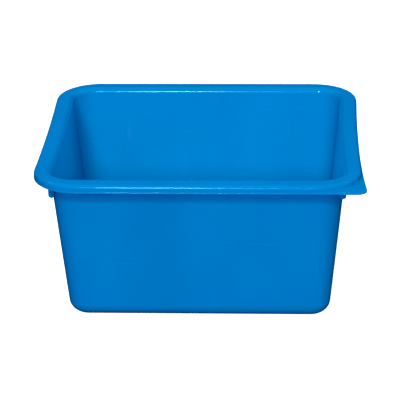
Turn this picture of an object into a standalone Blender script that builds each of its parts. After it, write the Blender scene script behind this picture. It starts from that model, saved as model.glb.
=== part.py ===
"""Rectangular plastic basin: tapered tub, turned-down rim with one squared pouring lip, four stacking lugs.

Metres, +Z up. X runs along the basin, the front is at -Y, and the basin stands on z = 0.
"""

import math

import bmesh
import bpy
from mathutils import Vector

# Overall sizes over the rim, before its ends are drawn in and its lip flares out
LENGTH = 0.3834
DEPTH = 0.3548
HEIGHT = 0.1848

# Rim
RIM_CORNER_RADIUS = 0.0590
RIM_WAIST = 0.0033
RIM_THICKNESS = 0.0022
FLANGE_WIDTH = 0.0220
END_GAIN = 0.0027
OPENING_CORNER_RADIUS = 0.0370
CREST_RADIUS = 0.0075
CREST_FALL = 0.0002
SHOULDER_RADIUS = 0.0048
SKIRT_DEPTH = 0.0100
SKIRT_THICKNESS = 0.0018
BEAD_FLARE = 0.0003
BEAD_HEIGHT = 0.0030
BEAD_ROUND = 0.0005

# Squared lip at the front right corner, a flat plate at the foot of the skirt
LIP_CORNER_RADIUS = 0.0120
LIP_FLARE = 0.0034
LIP_EDGE_RISE = 0.0005
LIP_BLEND = 0.0080

# Tub
WALL_THICKNESS = 0.0020
WALL_LEAN = 0.0191
BASE_CORNER_RADIUS = 0.0200
FLOOR_FILLET = 0.0188
FLOOR_CORNER_RADIUS = 0.0080
FOOT_WIDTH = 0.0120
FOOT_HEIGHT = 0.0018
FOOT_SLOPE = 0.0040
JOINT_DEPTH = 0.0106
JOINT_CLEARANCE = 0.0003

# Stacking lugs that hang from the flange at the four corners
LUG_WIDTH = 0.0060
LUG_THICKNESS = 0.0038
LUG_STANDOFF = 0.0013
LUG_DROP = 0.0280
LUG_EDGE_ROUND = 0.0005
LUG_ANGLE = math.radians(38.0)

# Rows from the skirt's face to its outermost edge: shares of the way out, of the fall and of the lip's rise
LIP_ROW_SHARES = (
    (0.00, 0.00, 0.0),
    (0.04, 0.40, 0.0),
    (0.12, 0.60, 0.0),
    (0.50, 0.80, 0.0),
    (0.82, 0.90, -0.2),
    (0.93, 0.96, 1.0),
    (1.00, 1.00, 0.4),
)
# How sharply the lip's flare grows towards the front, and how far its points crowd towards the corner
LIP_FLARE_POWER = 2.6
LIP_CROWDING = 1.6

# Facet counts
CORNER_STEPS = 12
LIP_STEPS = 16
END_STEPS = 10
SIDE_STEPS = 6
FLANGE_STEPS = 3
SHOULDER_STEPS = 6
CREST_STEPS = 6
BEND_STEPS = 3
FILLET_STEPS = 7
WALL_STEPS = 3
LUG_TIP_STEPS = 8

PLASTIC_BLUE = (0.0, 0.205, 0.590, 1.0)
PLASTIC_ROUGHNESS = 0.28
ROUND_EDGE_ANGLE = math.radians(35.0)

LEAN_SLOPE = WALL_LEAN / HEIGHT
LEAN_ANGLE = math.atan(LEAN_SLOPE)
# The four corners in the order in which an outline passes them; the last one is the lip's
CORNERS = ((1, 1), (-1, 1), (-1, -1), (1, -1))
LIP_CORNER = 3


def clear_scene():
    for old in list(bpy.data.objects):
        bpy.data.objects.remove(old, do_unlink=True)


def lerp(a, b, share):
    return a + (b - a) * share


def smooth_step(share):
    s = min(max(share, 0.0), 1.0)
    return s * s * (3 - 2 * s)


def lip_reach(angle, corner, rounding):
    """Distance from a corner's centre to a square corner with a small rounding, at 0 to 90 degrees."""
    across, along = math.cos(angle), math.sin(angle)
    centre = corner - rounding
    if corner * along <= centre * across:
        return corner / across
    if corner * across <= centre * along:
        return corner / along
    middle = centre * (across + along)
    return middle + math.sqrt(middle * middle - 2 * centre * centre + rounding * rounding)


def corner_angles(index):
    """Angles of a corner's points from 0 to 90 degrees; they crowd to the middle at the lip."""
    if index != LIP_CORNER:
        return [math.pi / 2 * k / CORNER_STEPS for k in range(CORNER_STEPS + 1)]
    angles = []
    for k in range(LIP_STEPS + 1):
        offset = 2 * k / LIP_STEPS - 1
        angles.append(math.pi / 4 * (1 + math.copysign(abs(offset) ** LIP_CROWDING, offset)))
    return angles


def drawn_in(y, half_y, waist):
    """How far the ends are drawn in at a place along them, the whole waist at their middle."""
    return waist * max(1 - (y / half_y) ** 2, 0.0)


def outline(inset, radius, waist, gain, squared=False):
    """Points round the basin at an inset from the rim's outline, with rounded corners and drawn-in ends.

    The ends lie further out by the gain. A squared outline has the lip's corner, and its right end flares
    out towards it.
    """
    half_x, half_y = LENGTH / 2 - inset + gain, DEPTH / 2 - inset
    points = []
    for index, (sx, sy) in enumerate(CORNERS):
        corner = []
        for angle in corner_angles(index):
            reach = radius
            # A turn starts on the end of the basin, so it runs backwards at the second and fourth corners
            turn = angle if sx * sy > 0 else math.pi / 2 - angle
            if squared and index == LIP_CORNER:
                reach = lip_reach(turn, radius, LIP_CORNER_RADIUS - inset)
            x = half_x - radius + reach * math.cos(turn)
            y = half_y - radius + reach * math.sin(turn)
            corner.append(Vector((sx * x, sy * y)))
        points += corner
        nx, ny = CORNERS[(index + 1) % len(CORNERS)]
        if nx != sx:
            end = Vector((nx * (half_x - radius), sy * half_y))
            steps = SIDE_STEPS
        else:
            end = Vector((sx * half_x, ny * (half_y - radius)))
            steps = END_STEPS
        points += [corner[-1].lerp(end, k / steps) for k in range(1, steps)]
    for p in points:
        draw = drawn_in(p.y, half_y, waist)
        past_centre = p.x - (half_x - radius)
        if squared and past_centre > 0 and p.y < 0:
            p.x += LIP_FLARE * past_centre / radius * (-p.y / half_y) ** LIP_FLARE_POWER
        p.x -= math.copysign(draw, p.x)
    return points


def ring(points, z):
    return [Vector((p.x, p.y, z)) for p in points]


def skin(bm, rings, closed):
    """Walls between rings that follow each other; the last one joins the first where the skin is closed."""
    loops = [[bm.verts.new(p) for p in points] for points in rings]
    pairs = list(zip(loops, loops[1:]))
    if closed:
        pairs.append((loops[-1], loops[0]))
    for lower, upper in pairs:
        for k in range(len(lower)):
            n = (k + 1) % len(lower)
            bm.faces.new((lower[k], lower[n], upper[n], upper[k]))
    return loops


def plastic(name):
    material = bpy.data.materials.new(name)
    material.use_nodes = True
    shader = material.node_tree.nodes["Principled BSDF"]
    shader.inputs["Base Color"].default_value = PLASTIC_BLUE
    shader.inputs["Roughness"].default_value = PLASTIC_ROUGHNESS
    shader.inputs["Metallic"].default_value = 0.0
    material.diffuse_color = PLASTIC_BLUE
    return material


def add_object(name, bm, parent):
    """Turns a bmesh into a named object with its faces outward and its round parts smooth."""
    bmesh.ops.recalc_face_normals(bm, faces=bm.faces)
    mesh = bpy.data.meshes.new(name)
    bm.to_mesh(mesh)
    bm.free()
    mesh.shade_smooth()
    mesh.set_sharp_from_angle(angle=ROUND_EDGE_ANGLE)
    mesh.materials.append(plastic(name + "_plastic"))
    obj = bpy.data.objects.new(name, mesh)
    bpy.context.scene.collection.objects.link(obj)
    obj.parent = parent
    return obj


def wall_inset(z):
    """Inset of the wall's outer face, which leans in evenly from the rim to the base."""
    return FLANGE_WIDTH + LEAN_SLOPE * (HEIGHT - z)


def wall_radius(z):
    """Plan radius of the wall's outer corners, which tighten evenly from the crest to the base."""
    top = OPENING_CORNER_RADIUS - CREST_RADIUS + WALL_THICKNESS
    return lerp(BASE_CORNER_RADIUS, top, z / (HEIGHT - CREST_RADIUS))


def wall_ring(z, thickness):
    """The wall's outer face at a height, or its inner face where a thickness is given."""
    waist = RIM_WAIST * z / HEIGHT
    return ring(outline(wall_inset(z) + thickness, wall_radius(z) - thickness, waist, END_GAIN), z)


def fillet_rings(thickness):
    """The rounded edge between walls and floor, tangent to both, from the wall down."""
    centre_z = FLOOR_FILLET
    centre_inset = wall_inset(centre_z) + FLOOR_FILLET / math.cos(LEAN_ANGLE)
    radius = FLOOR_FILLET - thickness
    rings = []
    for k in range(FILLET_STEPS + 1):
        angle = lerp(LEAN_ANGLE, math.pi / 2, k / FILLET_STEPS)
        inset = centre_inset - radius * math.cos(angle)
        z = centre_z - radius * math.sin(angle)
        share = 1 - math.cos(angle) / math.cos(LEAN_ANGLE)
        corner = lerp(wall_radius(centre_z) - thickness, FLOOR_CORNER_RADIUS, share)
        rings.append(ring(outline(inset, corner, RIM_WAIST * z / HEIGHT, END_GAIN), z))
    return rings


def floor_rings(lift):
    """The flat foot ring and the slope up to the raised middle of the floor, from the outside in."""
    start = wall_inset(FLOOR_FILLET) + FLOOR_FILLET / math.cos(LEAN_ANGLE)
    foot = start + FOOT_WIDTH
    return [
        ring(outline(foot, FLOOR_CORNER_RADIUS, 0.0, END_GAIN), lift),
        ring(outline(foot + FOOT_SLOPE, FLOOR_CORNER_RADIUS, 0.0, END_GAIN), lift + FOOT_HEIGHT),
    ]


def make_tub(parent):
    joint_z = HEIGHT - JOINT_DEPTH
    heights = [lerp(joint_z, FLOOR_FILLET, k / WALL_STEPS) for k in range(WALL_STEPS)]
    outer = [wall_ring(z, 0.0) for z in heights] + fillet_rings(0.0) + floor_rings(0.0)
    inner = [wall_ring(z, WALL_THICKNESS) for z in heights]
    inner += fillet_rings(WALL_THICKNESS) + floor_rings(WALL_THICKNESS)
    bm = bmesh.new()
    loops = skin(bm, outer[::-1] + inner, closed=False)
    bm.faces.new(loops[0])
    bm.faces.new(loops[-1])
    return add_object("tub", bm, parent)


def crest_inset():
    """Inset at which the flange ends and the round of the crest begins."""
    return wall_inset(HEIGHT - CREST_RADIUS) + WALL_THICKNESS - CREST_RADIUS


def rim_outline(inset, squared=False):
    """An outline in the rim: its corners tighten from the skirt to the opening, then follow the crest."""
    share = min(inset / crest_inset(), 1.0)
    radius = lerp(RIM_CORNER_RADIUS, OPENING_CORNER_RADIUS, share)
    radius -= max(inset - crest_inset(), 0.0)
    return outline(inset, radius, RIM_WAIST, END_GAIN * share, squared)


def flange_rows(lowering, edge_inset):
    """Rows across the flange from the crest to its outer edge, which lies a little lower."""
    rows = []
    for k in range(FLANGE_STEPS + 1):
        share = k / FLANGE_STEPS
        plan = rim_outline(lerp(crest_inset(), edge_inset, share))
        rows.append(ring(plan, HEIGHT - CREST_FALL * share - lowering))
    return rows


def crest_rows():
    """The round from the inner wall up to the crest's line."""
    rows = []
    for k in range(CREST_STEPS):
        angle = math.pi / 2 * k / CREST_STEPS
        plan = rim_outline(crest_inset() + CREST_RADIUS * math.cos(angle))
        rows.append(ring(plan, HEIGHT - CREST_RADIUS * (1 - math.sin(angle))))
    return rows


def shoulder_rows():
    """The round from the flange's edge down to the skirt's face."""
    top = HEIGHT - CREST_FALL
    rows = []
    for k in range(1, SHOULDER_STEPS + 1):
        angle = math.pi / 2 * k / SHOULDER_STEPS
        plan = rim_outline(BEAD_FLARE + SHOULDER_RADIUS * (1 - math.sin(angle)))
        rows.append(ring(plan, top - SHOULDER_RADIUS * (1 - math.cos(angle))))
    return rows


def lip_weights():
    """How fully each point belongs to the lip, from 0 round the rim to 1 where the lip stands out."""
    pairs = zip(rim_outline(0.0), rim_outline(0.0, squared=True))
    return [smooth_step((a - b).length / LIP_BLEND) for a, b in pairs]


def lip_rows():
    """Rows from the skirt's face to its edge: a bead round the rim, and a plate at the lip's corner."""
    face = rim_outline(BEAD_FLARE)
    edge = rim_outline(0.0, squared=True)
    rows = []
    for reach, fall, rise in LIP_ROW_SHARES:
        z = HEIGHT - SKIRT_DEPTH + BEAD_HEIGHT * (1 - fall / 2)
        row = []
        for a, b, weight in zip(face, edge, lip_weights()):
            p = a.lerp(b, reach)
            row.append(Vector((p.x, p.y, z + LIP_EDGE_RISE * rise * weight)))
        rows.append(row)
    return rows


def skirt_back_rows():
    """The rounded lower edge, the skirt's flat underside, and its inner face up to the bend."""
    bottom = HEIGHT - SKIRT_DEPTH
    back = BEAD_FLARE + SKIRT_THICKNESS
    bend = SHOULDER_RADIUS - SKIRT_THICKNESS
    underside = HEIGHT - CREST_FALL - RIM_THICKNESS
    rows = [
        ring(rim_outline(0.0, squared=True), bottom + BEAD_ROUND),
        ring(rim_outline(BEAD_ROUND, squared=True), bottom),
        ring(rim_outline(back), bottom),
    ]
    for k in range(BEND_STEPS):
        angle = math.pi / 2 * k / BEND_STEPS
        plan = rim_outline(back + bend * (1 - math.cos(angle)))
        rows.append(ring(plan, underside - bend * (1 - math.sin(angle))))
    return rows


def crest_underside():
    """The round underneath the crest down to the wall, as distances inside the crest's line and heights."""
    radius = CREST_RADIUS - RIM_THICKNESS
    centre_z = HEIGHT - CREST_RADIUS
    points = []
    for k in range(BEND_STEPS):
        angle = math.pi / 2 * k / BEND_STEPS
        points.append((radius * math.sin(angle), centre_z + radius * math.cos(angle)))
    points.append((CREST_RADIUS - WALL_THICKNESS, centre_z))
    return points


def rim_rows():
    """The rim's section as rings: up the inner wall, over the crest and flange, down the skirt and back."""
    joint_z = HEIGHT - JOINT_DEPTH + JOINT_CLEARANCE
    bend_inset = BEAD_FLARE + SHOULDER_RADIUS
    rows = [wall_ring(joint_z, WALL_THICKNESS)]
    rows += crest_rows() + flange_rows(0.0, bend_inset) + shoulder_rows() + lip_rows() + skirt_back_rows()
    rows += flange_rows(RIM_THICKNESS, bend_inset)[::-1]
    for past_crest, z in crest_underside()[1:]:
        rows.append(ring(rim_outline(crest_inset() + past_crest), z))
    rows.append(wall_ring(joint_z, 0.0))
    return rows


def make_rim(parent):
    bm = bmesh.new()
    skin(bm, rim_rows(), closed=True)
    return add_object("rim", bm, parent)


def underside_z(past_crest):
    """Height of the rim's underside at a distance inside the crest's line, its lowest outside that line."""
    if past_crest < 0:
        return HEIGHT - RIM_THICKNESS - CREST_FALL
    points = crest_underside()
    for (a, z_a), (b, z_b) in zip(points, points[1:]):
        if past_crest <= b:
            return lerp(z_a, z_b, (past_crest - a) / (b - a))
    return points[-1][1]


def lug_profile():
    """A lug's side view as distance from the opening's corner centre and height, with a round lower tip."""
    radius = LUG_WIDTH / 2
    middle = OPENING_CORNER_RADIUS - CREST_RADIUS + WALL_THICKNESS + LUG_STANDOFF + radius
    tip = HEIGHT - LUG_DROP
    points = []
    for side in (1, -1):
        reach = middle + side * radius
        points.append((reach, underside_z(OPENING_CORNER_RADIUS - reach) - JOINT_CLEARANCE))
    for k in range(LUG_TIP_STEPS + 1):
        angle = math.pi * k / LUG_TIP_STEPS
        points.append((middle - radius * math.cos(angle), tip + radius - radius * math.sin(angle)))
    return points


def make_lug(name, sx, sy, parent):
    """One stacking lug: a tongue that hangs from the flange at a corner, clear of wall and skirt."""
    out = Vector((sx * math.cos(LUG_ANGLE), sy * math.sin(LUG_ANGLE), 0.0))
    across = Vector((-out.y, out.x, 0.0))
    corner_inset = crest_inset() + OPENING_CORNER_RADIUS
    half_y = DEPTH / 2 - crest_inset()
    beside = DEPTH / 2 - corner_inset + OPENING_CORNER_RADIUS * math.sin(LUG_ANGLE)
    draw = drawn_in(beside, half_y, RIM_WAIST)
    half_x = LENGTH / 2 + END_GAIN - draw
    centre = Vector((sx * (half_x - corner_inset), sy * (DEPTH / 2 - corner_inset), 0.0))
    bm = bmesh.new()
    face = []
    for reach, z in lug_profile():
        corner = centre + out * reach - across * (LUG_THICKNESS / 2)
        face.append(bm.verts.new((corner.x, corner.y, z)))
    front = bm.faces.new(face)
    swept = bmesh.ops.extrude_face_region(bm, geom=[front])
    moved = [v for v in swept["geom"] if isinstance(v, bmesh.types.BMVert)]
    bmesh.ops.translate(bm, verts=moved, vec=across * LUG_THICKNESS)
    lug = add_object(name, bm, parent)
    rounding = lug.modifiers.new("rounding", "BEVEL")
    rounding.width = LUG_EDGE_ROUND
    rounding.segments = 2
    rounding.limit_method = "ANGLE"
    return lug


def centring():
    """Shift along X that puts the middle of the whole outline, flared lip included, on the origin."""
    reaches = [p.x for p in rim_outline(0.0, squared=True)]
    return -(max(reaches) + min(reaches)) / 2


def make_basin():
    clear_scene()
    centre = bpy.data.objects.new("basin_frame", None)
    centre.location = (centring(), 0.0, 0.0)
    bpy.context.scene.collection.objects.link(centre)
    make_tub(centre)
    make_rim(centre)
    for sx, sy in CORNERS:
        end = "rear" if sy > 0 else "front"
        side = "right" if sx > 0 else "left"
        make_lug(f"stacking_lug_{end}_{side}", sx, sy, centre)


make_basin()
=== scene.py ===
"""Looks of the plastic basin: a glossy blue moulding with a turned-down rim and a pouring lip.

Metres, +Z up. X runs along the basin, the front is at -Y, and the basin stands on z = 0.
"""

import math

import bmesh
import bpy
from mathutils import Matrix, Vector


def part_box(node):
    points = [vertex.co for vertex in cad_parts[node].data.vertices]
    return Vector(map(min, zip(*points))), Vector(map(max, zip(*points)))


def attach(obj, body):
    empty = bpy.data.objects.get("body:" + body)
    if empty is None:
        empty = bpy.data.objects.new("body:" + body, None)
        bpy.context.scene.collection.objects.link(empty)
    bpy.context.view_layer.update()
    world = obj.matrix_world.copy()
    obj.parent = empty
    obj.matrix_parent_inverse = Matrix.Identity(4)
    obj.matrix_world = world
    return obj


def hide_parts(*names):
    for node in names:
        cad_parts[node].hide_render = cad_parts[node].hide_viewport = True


# Sizes of the moulding. All are the CAD's but two: the length is 0.2 mm less, so that the finer
# bead stays inside the CAD's box, and the rise of the lip's edge is 0.9 mm instead of 0.5, so that
# it shows at the photograph's size.
LENGTH = 0.3832
DEPTH = 0.3548
HEIGHT = 0.1848
RIM_CORNER_RADIUS = 0.0590
RIM_WAIST = 0.0033
RIM_THICKNESS = 0.0022
FLANGE_WIDTH = 0.0220
END_GAIN = 0.0027
OPENING_CORNER_RADIUS = 0.0370
CREST_RADIUS = 0.0075
CREST_FALL = 0.0002
SHOULDER_RADIUS = 0.0048
SKIRT_DEPTH = 0.0100
SKIRT_THICKNESS = 0.0018
BEAD_FLARE = 0.0003
BEAD_HEIGHT = 0.0030
BEAD_ROUND = 0.0005
LIP_CORNER_RADIUS = 0.0120
LIP_FLARE = 0.0034
LIP_EDGE_RISE = 0.0009
LIP_BLEND = 0.0080
WALL_THICKNESS = 0.0020
WALL_LEAN = 0.0191
BASE_CORNER_RADIUS = 0.0200
FLOOR_FILLET = 0.0188
FLOOR_CORNER_RADIUS = 0.0080
FOOT_WIDTH = 0.0120
FOOT_HEIGHT = 0.0018
FOOT_SLOPE = 0.0040
JOINT_DEPTH = 0.0106

# Points of the lip's section from the skirt's face to the edge: shares of the way out, of the fall
# and of the rise
LIP_ROW_SHARES = (
    (0.00, 0.00, 0.0),
    (0.04, 0.40, 0.0),
    (0.12, 0.60, 0.0),
    (0.50, 0.80, 0.0),
    (0.82, 0.90, -0.2),
    (0.93, 0.96, 1.0),
    (1.00, 1.00, 0.4),
)
# How sharply the lip's flare grows towards the front, and how far its points crowd to the corner
LIP_FLARE_POWER = 2.6
LIP_CROWDING = 1.6

# Facet counts
CORNER_STEPS = 36
LIP_STEPS = 64
END_STEPS = 24
SIDE_STEPS = 24
SHOULDER_STEPS = 10
CREST_STEPS = 12
FLANGE_STEPS = 10
BEND_STEPS = 8
LIP_ROW_STEPS = 5
EDGE_STEPS = 4
FILLET_STEPS = 18
WALL_STEPS = 12
FLOOR_STEPS = 6

QUARTER_TURN = math.pi / 2
# Edges that turn by less than this are shaded as round
SHARP_ANGLE = math.radians(40.0)
LEAN_SLOPE = WALL_LEAN / HEIGHT
LEAN_ANGLE = math.atan(LEAN_SLOPE)
# The four corners in the order in which an outline passes them; the last one is the lip's
CORNERS = ((1, 1), (-1, 1), (-1, -1), (1, -1))
LIP_CORNER = 3

# Camera: focal length in pixels of the 400-pixel frame, direction from the basin to it, and its aim
PHOTO_WIDTH_PX = 400
FOCAL_PX = 2024.89
SENSOR_MM = 36.0
CAMERA_ELEVATION = math.radians(22.553)
CAMERA_AZIMUTH = math.radians(2.890)
CAMERA_ROLL = math.radians(-0.872)
CAMERA_DISTANCE = 2.48055
CAMERA_AIM_X = -0.00360
CAMERA_AIM_Z = 0.09450

# Soft light all round the studio: the direction that it comes from, how narrow it is, and its
# strength in each colour
STUDIO_LIGHT = (
    ((0.0, 0.0, 1.0), 30.0, (0.20, 1.80, 1.80)),
    ((0.0, 0.8, 0.6), 3.0, (0.30, 1.10, 1.45)),
    ((0.0, 1.0, 0.15), 3.0, (0.30, 1.60, 1.80)),
    ((-1.0, 0.0, 0.3), 3.0, (0.05, 0.06, 0.14)),
    ((1.0, 0.0, 0.3), 3.0, (0.10, 0.24, 0.30)),
    ((-1.0, -0.3, -0.1), 8.0, (0.05, 0.05, 0.34)),
    ((1.0, -0.3, -0.1), 8.0, (0.05, 0.05, 0.16)),
    ((0.0, -1.0, -0.1), 12.0, (0.00, 0.00, 1.10)),
)
# Wide lamps in front, which give no reflections: azimuth, elevation and spread in degrees, colour
# and strength
FRONT_LAMPS = (
    (-4.0, 22.5, 10.0, (0.98, 0.98, 1.00), 1.84),
    (-4.0, 35.0, 14.0, (1.00, 1.00, 0.50), 0.84),
)
# Bright windows, three in front for the rim's long highlights and one at each side: place, width,
# height and power
WINDOWS = (
    ((-0.216, -2.1, 1.75), 0.262, 0.26, 14.0),
    ((0.000, -2.1, 1.75), 0.140, 0.26, 1.1),
    ((0.225, -2.1, 1.75), 0.030, 0.26, 2.0),
    ((-2.2, -0.2, 1.90), 0.500, 0.30, 2.0),
    ((2.2, 0.2, 1.90), 0.500, 0.30, 2.0),
)
WINDOW_AIM = (0.0, 0.0, 0.12)

# Floor: a plain sheet, which glows so that it is white all over
FLOOR_HALF_WIDTH = 30.0
FLOOR_DROP = 0.0005
FLOOR_WHITE = (0.9, 0.9, 0.9, 1.0)
FLOOR_ROUGHNESS = 0.9
FLOOR_GLOW = (1.0, 1.0, 1.0, 1.0)
FLOOR_GLOW_STRENGTH = 1.0

# Colours of the plastic: its deeper and lighter flow marks, its scuffs and its gloss
BLUE_DEEP = (0.0, 0.200, 0.545, 1.0)
BLUE_LIGHT = (0.0, 0.222, 0.590, 1.0)
BLUE_SCUFF = (0.030, 0.290, 0.640, 1.0)
GLOSS_TINT = (0.15, 0.9, 0.95, 1.0)
# Roughness of the clean plastic, what a full scuff adds, and how much of a scuff's colour shows
ROUGHNESS_LOW = 0.065
ROUGHNESS_HIGH = 0.100
SCUFF_ROUGHNESS = 0.22
SCUFF_SHOW = 0.22
# Heights of the rubbed band at the foot, of the surface's slow waves and of its grain
FOOT_RUB_HEIGHT = 0.0060
WAVE_HEIGHT = 0.00004
GRAIN_HEIGHT = 0.000006
# Shares of the clouds and of the flow lines in the marks
CLOUD_SHARE = 0.6
FLOW_SHARE = 0.4
# Noise in the plastic: its scale per metre, its detail, and for long or thin cells a factor on the
# scale along each axis
CLOUD_NOISE = (7.0, 4.0)
FLOW_NOISE = (22.0, 3.0, (1.0, 1.0, 0.16))
GLOSS_NOISE = (30.0, 4.0)
WAVE_NOISE = (9.0, 2.0)
GRAIN_NOISE = (900.0, 2.0)
ALONG_SCRATCH_NOISE = (60.0, 3.0, (0.08, 4.0, 4.0))
UPRIGHT_SCRATCH_NOISE = (60.0, 3.0, (4.0, 4.0, 0.10))
PATCH_NOISE = (9.0, 2.0)
GRIT_NOISE = (160.0, 4.0)
# Values of that noise between which its effect goes from none to full
MARK_RANGE = (0.36, 0.64)
GLOSS_RANGE = (0.35, 0.65)
ALONG_SCRATCH_RANGE = (0.66, 0.74)
UPRIGHT_SCRATCH_RANGE = (0.67, 0.75)
PATCH_RANGE = (0.50, 0.68)
GRIT_RANGE = (0.42, 0.66)


def lerp(a, b, share):
    return a + (b - a) * share


def smooth_step(share):
    s = min(max(share, 0.0), 1.0)
    return s * s * (3 - 2 * s)


def lip_reach(angle, corner, rounding):
    """Distance from a corner's centre to its square outline with a small rounding, at an angle."""
    across, along = math.cos(angle), math.sin(angle)
    centre = corner - rounding
    if corner * along <= centre * across:
        return corner / across
    if corner * across <= centre * along:
        return corner / along
    middle = centre * (across + along)
    return middle + math.sqrt(middle * middle - 2 * centre * centre + rounding * rounding)


def corner_angles(index):
    """Angles of a corner's points from 0 to 90 degrees; they crowd to the middle at the lip."""
    if index != LIP_CORNER:
        return [QUARTER_TURN * k / CORNER_STEPS for k in range(CORNER_STEPS + 1)]
    angles = []
    for k in range(LIP_STEPS + 1):
        offset = 2 * k / LIP_STEPS - 1
        crowded = math.copysign(abs(offset) ** LIP_CROWDING, offset)
        angles.append(QUARTER_TURN / 2 * (1 + crowded))
    return angles


def outline(inset, radius, waist, gain=0.0, squared=False):
    """Points round the basin at an inset from the rim's outline: round corners and drawn-in ends.

    The ends lie a gain further out. A squared outline has the lip's corner, and its right end
    flares out there.
    """
    half_x, half_y = LENGTH / 2 - inset + gain, DEPTH / 2 - inset
    points = []
    for index, (sx, sy) in enumerate(CORNERS):
        corner = []
        for angle in corner_angles(index):
            reach = radius
            turn = angle if sx * sy > 0 else QUARTER_TURN - angle
            if squared and index == LIP_CORNER:
                reach = lip_reach(turn, radius, LIP_CORNER_RADIUS - inset)
            x = half_x - radius + reach * math.cos(turn)
            y = half_y - radius + reach * math.sin(turn)
            corner.append(Vector((sx * x, sy * y)))
        points += corner
        nx, ny = CORNERS[(index + 1) % len(CORNERS)]
        if nx != sx:
            end = Vector((nx * (half_x - radius), sy * half_y))
            steps = SIDE_STEPS
        else:
            end = Vector((sx * half_x, ny * (half_y - radius)))
            steps = END_STEPS
        points += [corner[-1].lerp(end, k / steps) for k in range(1, steps)]
    for p in points:
        draw = waist * max(1 - (p.y / half_y) ** 2, 0.0)
        past_centre = p.x - (half_x - radius)
        if squared and past_centre > 0 and p.y < 0:
            p.x += LIP_FLARE * past_centre / radius * (-p.y / half_y) ** LIP_FLARE_POWER
        p.x -= math.copysign(draw, p.x)
    return points


def ring(points, z):
    return [Vector((p.x, p.y, z)) for p in points]


def skin(bm, rings, closed):
    """Walls between rings that follow each other. In a closed skin the last one joins the first."""
    loops = [[bm.verts.new(p) for p in points] for points in rings]
    pairs = list(zip(loops, loops[1:]))
    if closed:
        pairs.append((loops[-1], loops[0]))
    for lower, upper in pairs:
        for k in range(len(lower)):
            n = (k + 1) % len(lower)
            bm.faces.new((lower[k], lower[n], upper[n], upper[k]))
    return loops


def wall_inset(z):
    return FLANGE_WIDTH + LEAN_SLOPE * (HEIGHT - z)


def wall_radius(z):
    top = OPENING_CORNER_RADIUS - CREST_RADIUS + WALL_THICKNESS
    return lerp(BASE_CORNER_RADIUS, top, z / (HEIGHT - CREST_RADIUS))


def wall_ring(z, thickness):
    waist = RIM_WAIST * z / HEIGHT
    return ring(outline(wall_inset(z) + thickness, wall_radius(z) - thickness, waist, END_GAIN), z)


def fillet_rings(thickness):
    """The round between the walls and the floor, on the outside or a thickness further in."""
    centre_inset = wall_inset(FLOOR_FILLET) + FLOOR_FILLET / math.cos(LEAN_ANGLE)
    radius = FLOOR_FILLET - thickness
    rings = []
    for k in range(FILLET_STEPS + 1):
        angle = lerp(LEAN_ANGLE, QUARTER_TURN, k / FILLET_STEPS)
        inset = centre_inset - radius * math.cos(angle)
        z = FLOOR_FILLET - radius * math.sin(angle)
        share = 1 - math.cos(angle) / math.cos(LEAN_ANGLE)
        corner = lerp(wall_radius(FLOOR_FILLET) - thickness, FLOOR_CORNER_RADIUS, share)
        rings.append(ring(outline(inset, corner, RIM_WAIST * z / HEIGHT, END_GAIN), z))
    return rings


def floor_rings(lift):
    """The foot ring and the slope up to the raised middle of the floor, from the outside in."""
    foot = wall_inset(FLOOR_FILLET) + FLOOR_FILLET / math.cos(LEAN_ANGLE) + FOOT_WIDTH
    rings = []
    for k in range(FLOOR_STEPS + 1):
        share = k / FLOOR_STEPS
        plan = outline(foot + FOOT_SLOPE * share, FLOOR_CORNER_RADIUS, 0.0, END_GAIN)
        rings.append(ring(plan, lift + FOOT_HEIGHT * smooth_step(share)))
    return rings


def build_tub(bm):
    """The tub's section as rings: out under the floor, up the outside and back down the inside."""
    joint_z = HEIGHT - JOINT_DEPTH
    heights = [lerp(joint_z, FLOOR_FILLET, k / WALL_STEPS) for k in range(WALL_STEPS)]
    outer = [wall_ring(z, 0.0) for z in heights] + fillet_rings(0.0) + floor_rings(0.0)
    inner = [wall_ring(z, WALL_THICKNESS) for z in heights]
    inner += fillet_rings(WALL_THICKNESS) + floor_rings(WALL_THICKNESS)
    loops = skin(bm, outer[::-1] + inner, closed=False)
    bm.faces.new(loops[0])
    bm.faces.new(loops[-1])


def crest_inset():
    return wall_inset(HEIGHT - CREST_RADIUS) + WALL_THICKNESS - CREST_RADIUS


def rim_outline(inset, squared=False):
    share = min(inset / crest_inset(), 1.0)
    radius = lerp(RIM_CORNER_RADIUS, OPENING_CORNER_RADIUS, share)
    radius -= max(inset - crest_inset(), 0.0)
    return outline(inset, radius, RIM_WAIST, END_GAIN * share, squared)


def flange_rows(lowering, edge_inset):
    """Rows across the flange from the crest to its outer edge, which lies a little lower."""
    rows = []
    for k in range(FLANGE_STEPS + 1):
        share = k / FLANGE_STEPS
        plan = rim_outline(lerp(crest_inset(), edge_inset, share))
        rows.append(ring(plan, HEIGHT - CREST_FALL * share - lowering))
    return rows


def crest_rows():
    """The round from the inner wall up to the crest's line."""
    rows = []
    for k in range(CREST_STEPS):
        angle = QUARTER_TURN * k / CREST_STEPS
        plan = rim_outline(crest_inset() + CREST_RADIUS * math.cos(angle))
        rows.append(ring(plan, HEIGHT - CREST_RADIUS * (1 - math.sin(angle))))
    return rows


def shoulder_rows():
    """The round from the flange's edge down to the skirt's face."""
    top = HEIGHT - CREST_FALL
    rows = []
    for k in range(1, SHOULDER_STEPS + 1):
        angle = QUARTER_TURN * k / SHOULDER_STEPS
        plan = rim_outline(BEAD_FLARE + SHOULDER_RADIUS * (1 - math.sin(angle)))
        rows.append(ring(plan, top - SHOULDER_RADIUS * (1 - math.cos(angle))))
    return rows


def lip_weights():
    """How fully each point belongs to the lip: 0 round the rim, 1 where the lip stands out."""
    pairs = zip(rim_outline(0.0), rim_outline(0.0, squared=True))
    return [smooth_step((a - b).length / LIP_BLEND) for a, b in pairs]


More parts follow.
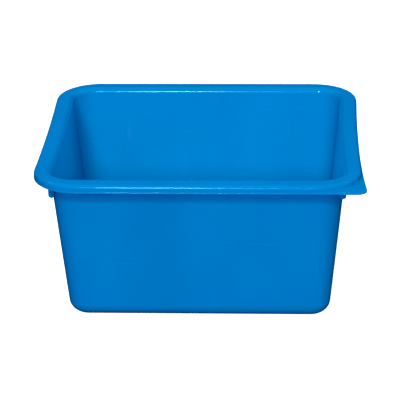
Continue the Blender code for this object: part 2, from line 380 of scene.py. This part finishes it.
def smooth_path(points, steps):
    """A smooth curve through points, with a number of steps between each two."""
    ends = [Vector(p) for p in points]
    ends = [ends[0]] + ends + [ends[-1]]
    path = []
    for before, a, b, after in zip(ends, ends[1:], ends[2:], ends[3:]):
        for k in range(steps):
            t = k / steps
            leave, arrive = (b - before) / 2, (after - a) / 2
            bend = a * (2 * t**3 - 3 * t**2 + 1) + b * (3 * t**2 - 2 * t**3)
            path.append(bend + leave * (t**3 - 2 * t**2 + t) + arrive * (t**3 - t**2))
    path.append(ends[-1])
    return path


def lip_rows():
    """Rows from the skirt's face to its edge: a bead round the rim, a plate at the lip's corner."""
    face = rim_outline(BEAD_FLARE)
    edge = rim_outline(0.0, squared=True)
    weights = lip_weights()
    rows = []
    for reach, fall, rise in smooth_path(LIP_ROW_SHARES, LIP_ROW_STEPS):
        z = HEIGHT - SKIRT_DEPTH + BEAD_HEIGHT * (1 - fall / 2)
        row = []
        for a, b, weight in zip(face, edge, weights):
            p = a.lerp(b, reach)
            row.append(Vector((p.x, p.y, z + LIP_EDGE_RISE * rise * weight)))
        rows.append(row)
    return rows


def skirt_back_rows():
    """The rounded lower edge, the skirt's flat underside, and its inner face up to the bend."""
    bottom = HEIGHT - SKIRT_DEPTH
    back = BEAD_FLARE + SKIRT_THICKNESS
    bend = SHOULDER_RADIUS - SKIRT_THICKNESS
    underside = HEIGHT - CREST_FALL - RIM_THICKNESS
    rows = []
    for k in range(EDGE_STEPS + 1):
        angle = QUARTER_TURN * k / EDGE_STEPS
        plan = rim_outline(BEAD_ROUND * (1 - math.cos(angle)), squared=True)
        rows.append(ring(plan, bottom + BEAD_ROUND * (1 - math.sin(angle))))
    rows.append(ring(rim_outline(back), bottom))
    for k in range(BEND_STEPS):
        angle = QUARTER_TURN * k / BEND_STEPS
        plan = rim_outline(back + bend * (1 - math.cos(angle)))
        rows.append(ring(plan, underside - bend * (1 - math.sin(angle))))
    return rows


def crest_underside_rows():
    """The round underneath the crest, from the flange down to the wall."""
    radius = CREST_RADIUS - RIM_THICKNESS
    centre_z = HEIGHT - CREST_RADIUS
    rows = []
    for k in range(1, BEND_STEPS):
        angle = QUARTER_TURN * k / BEND_STEPS
        plan = rim_outline(crest_inset() + radius * math.sin(angle))
        rows.append(ring(plan, centre_z + radius * math.cos(angle)))
    rows.append(ring(rim_outline(crest_inset() + CREST_RADIUS - WALL_THICKNESS), centre_z))
    return rows


def build_rim(bm):
    """The rim's section as rings: up the inner wall, over crest and flange, down and back."""
    joint_z = HEIGHT - JOINT_DEPTH
    bend_inset = BEAD_FLARE + SHOULDER_RADIUS
    rows = [wall_ring(joint_z, WALL_THICKNESS)]
    rows += crest_rows() + flange_rows(0.0, bend_inset) + shoulder_rows()
    rows += lip_rows() + skirt_back_rows()
    rows += flange_rows(RIM_THICKNESS, bend_inset)[::-1] + crest_underside_rows()
    rows.append(wall_ring(joint_z, 0.0))
    skin(bm, rows, closed=True)


def node(tree, kind, inputs, **settings):
    """Adds a shader node, with a value or another node's output for each named input."""
    added = tree.nodes.new(kind)
    for name, value in settings.items():
        setattr(added, name, value)
    for name, value in inputs.items():
        if isinstance(value, bpy.types.NodeSocket):
            tree.links.new(value, added.inputs[name])
        else:
            added.inputs[name].default_value = value
    return added


def noise(tree, place, scale, detail, stretch=(1.0, 1.0, 1.0)):
    """Noise over the piece. A stretch under 1 along an axis makes its cells longer there."""
    mapping = node(tree, "ShaderNodeMapping", {"Vector": place, "Scale": stretch})
    cells = {"Vector": mapping.outputs["Vector"], "Scale": scale, "Detail": detail}
    return node(tree, "ShaderNodeTexNoise", cells).outputs["Fac"]


def spread(tree, value, low, high, to_low=0.0, to_high=1.0):
    """A value taken from one range to another, and held at its ends."""
    ends = {"From Min": low, "From Max": high, "To Min": to_low, "To Max": to_high}
    return node(tree, "ShaderNodeMapRange", {"Value": value, **ends}).outputs["Result"]


def math_node(tree, operation, a, b):
    return node(tree, "ShaderNodeMath", {0: a, 1: b}, operation=operation).outputs["Value"]


def vector_node(tree, operation, inputs, output="Vector"):
    return node(tree, "ShaderNodeVectorMath", inputs, operation=operation).outputs[output]


def blend_colours(tree, share, a, b):
    """The first colour where the share is 0, the second where it is 1."""
    mix = tree.nodes.new("ShaderNodeMix")
    mix.data_type = "RGBA"
    tree.links.new(share, mix.inputs["Factor"])
    for place, colour in zip(("A", "B"), (a, b)):
        socket = next(i for i in mix.inputs if i.name == place and i.type == "RGBA")
        if isinstance(colour, bpy.types.NodeSocket):
            tree.links.new(colour, socket)
        else:
            socket.default_value = colour
    return next(o for o in mix.outputs if o.type == "RGBA")


def scuff_mask(tree, place):
    """Fine handling scratches in two directions, in patches, and rubbed plastic at the foot."""
    along = spread(tree, noise(tree, place, *ALONG_SCRATCH_NOISE), *ALONG_SCRATCH_RANGE)
    upright = spread(tree, noise(tree, place, *UPRIGHT_SCRATCH_NOISE), *UPRIGHT_SCRATCH_RANGE)
    lines = math_node(tree, "MAXIMUM", along, upright)
    patches = spread(tree, noise(tree, place, *PATCH_NOISE), *PATCH_RANGE)
    scratches = math_node(tree, "MULTIPLY", lines, patches)
    height = node(tree, "ShaderNodeSeparateXYZ", {"Vector": place}).outputs["Z"]
    foot = spread(tree, height, 0.0, FOOT_RUB_HEIGHT, 1.0, 0.0)
    grit = spread(tree, noise(tree, place, *GRIT_NOISE), *GRIT_RANGE)
    rubbed = math_node(tree, "MULTIPLY", foot, grit)
    return math_node(tree, "MAXIMUM", scratches, rubbed)


def plastic(name):
    """Glossy moulded plastic: faint flow marks, a fine grain, patchy gloss and light scuffs."""
    material = bpy.data.materials.new(name)
    material.use_nodes = True
    tree = material.node_tree
    shader = tree.nodes["Principled BSDF"]
    place = node(tree, "ShaderNodeTexCoord", {}).outputs["Object"]
    clouds = math_node(tree, "MULTIPLY", noise(tree, place, *CLOUD_NOISE), CLOUD_SHARE)
    flow = math_node(tree, "MULTIPLY", noise(tree, place, *FLOW_NOISE), FLOW_SHARE)
    marks = spread(tree, math_node(tree, "ADD", clouds, flow), *MARK_RANGE)
    blue = blend_colours(tree, marks, BLUE_DEEP, BLUE_LIGHT)
    scuffs = scuff_mask(tree, place)
    faint = math_node(tree, "MULTIPLY", scuffs, SCUFF_SHOW)
    tree.links.new(blend_colours(tree, faint, blue, BLUE_SCUFF), shader.inputs["Base Color"])
    patches = noise(tree, place, *GLOSS_NOISE)
    gloss = spread(tree, patches, *GLOSS_RANGE, ROUGHNESS_LOW, ROUGHNESS_HIGH)
    dull = math_node(tree, "MULTIPLY", scuffs, SCUFF_ROUGHNESS)
    tree.links.new(math_node(tree, "ADD", gloss, dull), shader.inputs["Roughness"])
    shader.inputs["Specular Tint"].default_value = GLOSS_TINT
    waves = {"Height": noise(tree, place, *WAVE_NOISE), "Strength": 1.0, "Distance": WAVE_HEIGHT}
    waved = node(tree, "ShaderNodeBump", waves).outputs["Normal"]
    grain = {"Height": noise(tree, place, *GRAIN_NOISE), "Strength": 1.0, "Distance": GRAIN_HEIGHT}
    grained = node(tree, "ShaderNodeBump", {"Normal": waved, **grain}).outputs["Normal"]
    tree.links.new(grained, shader.inputs["Normal"])
    return material


def add_piece(name, build, material, offset, nodes):
    """Builds a piece as a mesh of its own, which takes the place of the nodes given."""
    bm = bmesh.new()
    build(bm)
    bmesh.ops.recalc_face_normals(bm, faces=bm.faces)
    bmesh.ops.translate(bm, verts=bm.verts, vec=offset)
    mesh = bpy.data.meshes.new(name)
    bm.to_mesh(mesh)
    bm.free()
    mesh.shade_smooth()
    mesh.set_sharp_from_angle(angle=SHARP_ANGLE)
    mesh.materials.append(material)
    piece = bpy.data.objects.new(name, mesh)
    bpy.context.scene.collection.objects.link(piece)
    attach(piece, "root")
    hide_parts(*nodes)


def add_camera(offset_x):
    """The photograph's camera, which looks at the basin from the front and a little from above."""
    camera = bpy.data.objects.new("camera", bpy.data.cameras.new("camera"))
    bpy.context.scene.collection.objects.link(camera)
    back = Vector((
        math.sin(CAMERA_AZIMUTH) * math.cos(CAMERA_ELEVATION),
        -math.cos(CAMERA_AZIMUTH) * math.cos(CAMERA_ELEVATION),
        math.sin(CAMERA_ELEVATION),
    ))
    right = Vector((0.0, 0.0, 1.0)).cross(back).normalized()
    up = back.cross(right)
    turn = Matrix.Rotation(CAMERA_ROLL, 3, back)
    axes = Matrix((turn @ right, turn @ up, back)).transposed().to_4x4()
    axes.translation = Vector((CAMERA_AIM_X + offset_x, 0.0, CAMERA_AIM_Z)) + back * CAMERA_DISTANCE
    camera.matrix_world = axes
    camera.data.sensor_width = SENSOR_MM
    camera.data.lens = FOCAL_PX * SENSOR_MM / PHOTO_WIDTH_PX
    bpy.context.scene.camera = camera


def add_light(name, light, toward_light):
    """Places a light that shines from the direction given."""
    lamp = bpy.data.objects.new(name, light)
    lamp.rotation_mode = "QUATERNION"
    lamp.rotation_quaternion = (-toward_light).to_track_quat("-Z", "Y")
    bpy.context.scene.collection.objects.link(lamp)
    return lamp


def add_window(name, place, width, height, power):
    """A bright rectangle that faces the basin."""
    light = bpy.data.lights.new(name, "AREA")
    light.shape = "RECTANGLE"
    light.size = width
    light.size_y = height
    light.energy = power
    add_light(name, light, Vector(place) - Vector(WINDOW_AIM)).location = place


def add_front_lamp(name, azimuth, elevation, spread_angle, colour, strength):
    """A wide far lamp in front, left out of reflections. Its angles are in degrees."""
    azimuth, elevation = math.radians(azimuth), math.radians(elevation)
    light = bpy.data.lights.new(name, "SUN")
    light.angle = math.radians(spread_angle)
    light.color = colour
    light.energy = strength
    level = math.cos(elevation)
    toward = Vector((math.sin(azimuth) * level, -math.cos(azimuth) * level, math.sin(elevation)))
    add_light(name, light, toward).visible_glossy = False


def add_lobe(tree, sky, direction, tightness, colour):
    """Soft light from one direction of the studio, which fades to the sides."""
    toward = tuple(Vector(direction).normalized())
    facing = vector_node(tree, "DOT_PRODUCT", {0: sky, 1: toward}, "Value")
    fade = math_node(tree, "POWER", math_node(tree, "MAXIMUM", facing, 0.0), tightness)
    return vector_node(tree, "SCALE", {0: colour, "Scale": fade})


def add_world():
    """Soft light for the matt part of each surface, white for the camera, dark in reflections."""
    world = bpy.data.worlds.new("studio")
    bpy.context.scene.world = world
    world.use_nodes = True
    # Only the camera sees the white, so the world isn't sampled as a lamp
    world.cycles.sampling_method = "NONE"
    tree = world.node_tree
    sky = node(tree, "ShaderNodeTexCoord", {}).outputs["Generated"]
    total = (0.0, 0.0, 0.0)
    for direction, tightness, colour in STUDIO_LIGHT:
        lobe = add_lobe(tree, sky, direction, tightness, colour)
        total = vector_node(tree, "ADD", {0: total, 1: lobe})
    path = node(tree, "ShaderNodeLightPath", {})
    matt = vector_node(tree, "SCALE", {0: total, "Scale": path.outputs["Is Diffuse Ray"]})
    both = vector_node(tree, "ADD", {0: matt, 1: path.outputs["Is Camera Ray"]})
    tree.links.new(both, tree.nodes["Background"].inputs["Color"])
    tree.nodes["Background"].inputs["Strength"].default_value = 1.0


def add_floor():
    """A plain white floor, which neither lights the basin nor shows in it."""
    bm = bmesh.new()
    bmesh.ops.create_grid(bm, x_segments=1, y_segments=1, size=FLOOR_HALF_WIDTH)
    mesh = bpy.data.meshes.new("floor")
    bm.to_mesh(mesh)
    bm.free()
    material = bpy.data.materials.new("floor_white")
    material.use_nodes = True
    shader = material.node_tree.nodes["Principled BSDF"]
    shader.inputs["Base Color"].default_value = FLOOR_WHITE
    shader.inputs["Roughness"].default_value = FLOOR_ROUGHNESS
    shader.inputs["Emission Color"].default_value = FLOOR_GLOW
    shader.inputs["Emission Strength"].default_value = FLOOR_GLOW_STRENGTH
    material.cycles.emission_sampling = "NONE"
    mesh.materials.append(material)
    floor = bpy.data.objects.new("floor", mesh)
    floor.location.z = -FLOOR_DROP
    bpy.context.scene.collection.objects.link(floor)
    floor.visible_diffuse = False
    floor.visible_glossy = False


def offset_to_frame():
    """From the moulding's own axes to the frame, which is centred on the rim with its lip."""
    low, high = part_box("rim")
    reaches = [p.x for p in rim_outline(0.0, squared=True)]
    return Vector(((low.x + high.x) / 2 - (min(reaches) + max(reaches)) / 2, 0.0, 0.0))


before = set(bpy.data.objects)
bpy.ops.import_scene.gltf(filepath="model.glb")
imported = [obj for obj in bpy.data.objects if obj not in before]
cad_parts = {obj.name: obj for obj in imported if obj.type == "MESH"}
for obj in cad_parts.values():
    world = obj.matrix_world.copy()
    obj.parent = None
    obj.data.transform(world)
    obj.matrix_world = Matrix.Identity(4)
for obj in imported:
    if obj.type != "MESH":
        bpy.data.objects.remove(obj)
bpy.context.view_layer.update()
offset = offset_to_frame()
blue = plastic("blue_plastic")
add_piece("basin_tub", build_tub, blue, offset, ["tub"])
add_piece("basin_rim", build_rim, blue, offset, ["rim"])
# The lugs keep their CAD shapes and take the same plastic
for name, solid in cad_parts.items():
    if name.startswith("stacking_lug"):
        solid.data.materials.clear()
        solid.data.materials.append(blue)
bpy.context.scene.view_settings.view_transform = "Standard"
add_camera(offset.x)
add_world()
add_floor()
for index, lamp in enumerate(FRONT_LAMPS):
    add_front_lamp(f"lamp_{index}", *lamp)
for index, window in enumerate(WINDOWS):
    add_window(f"window_{index}", *window)
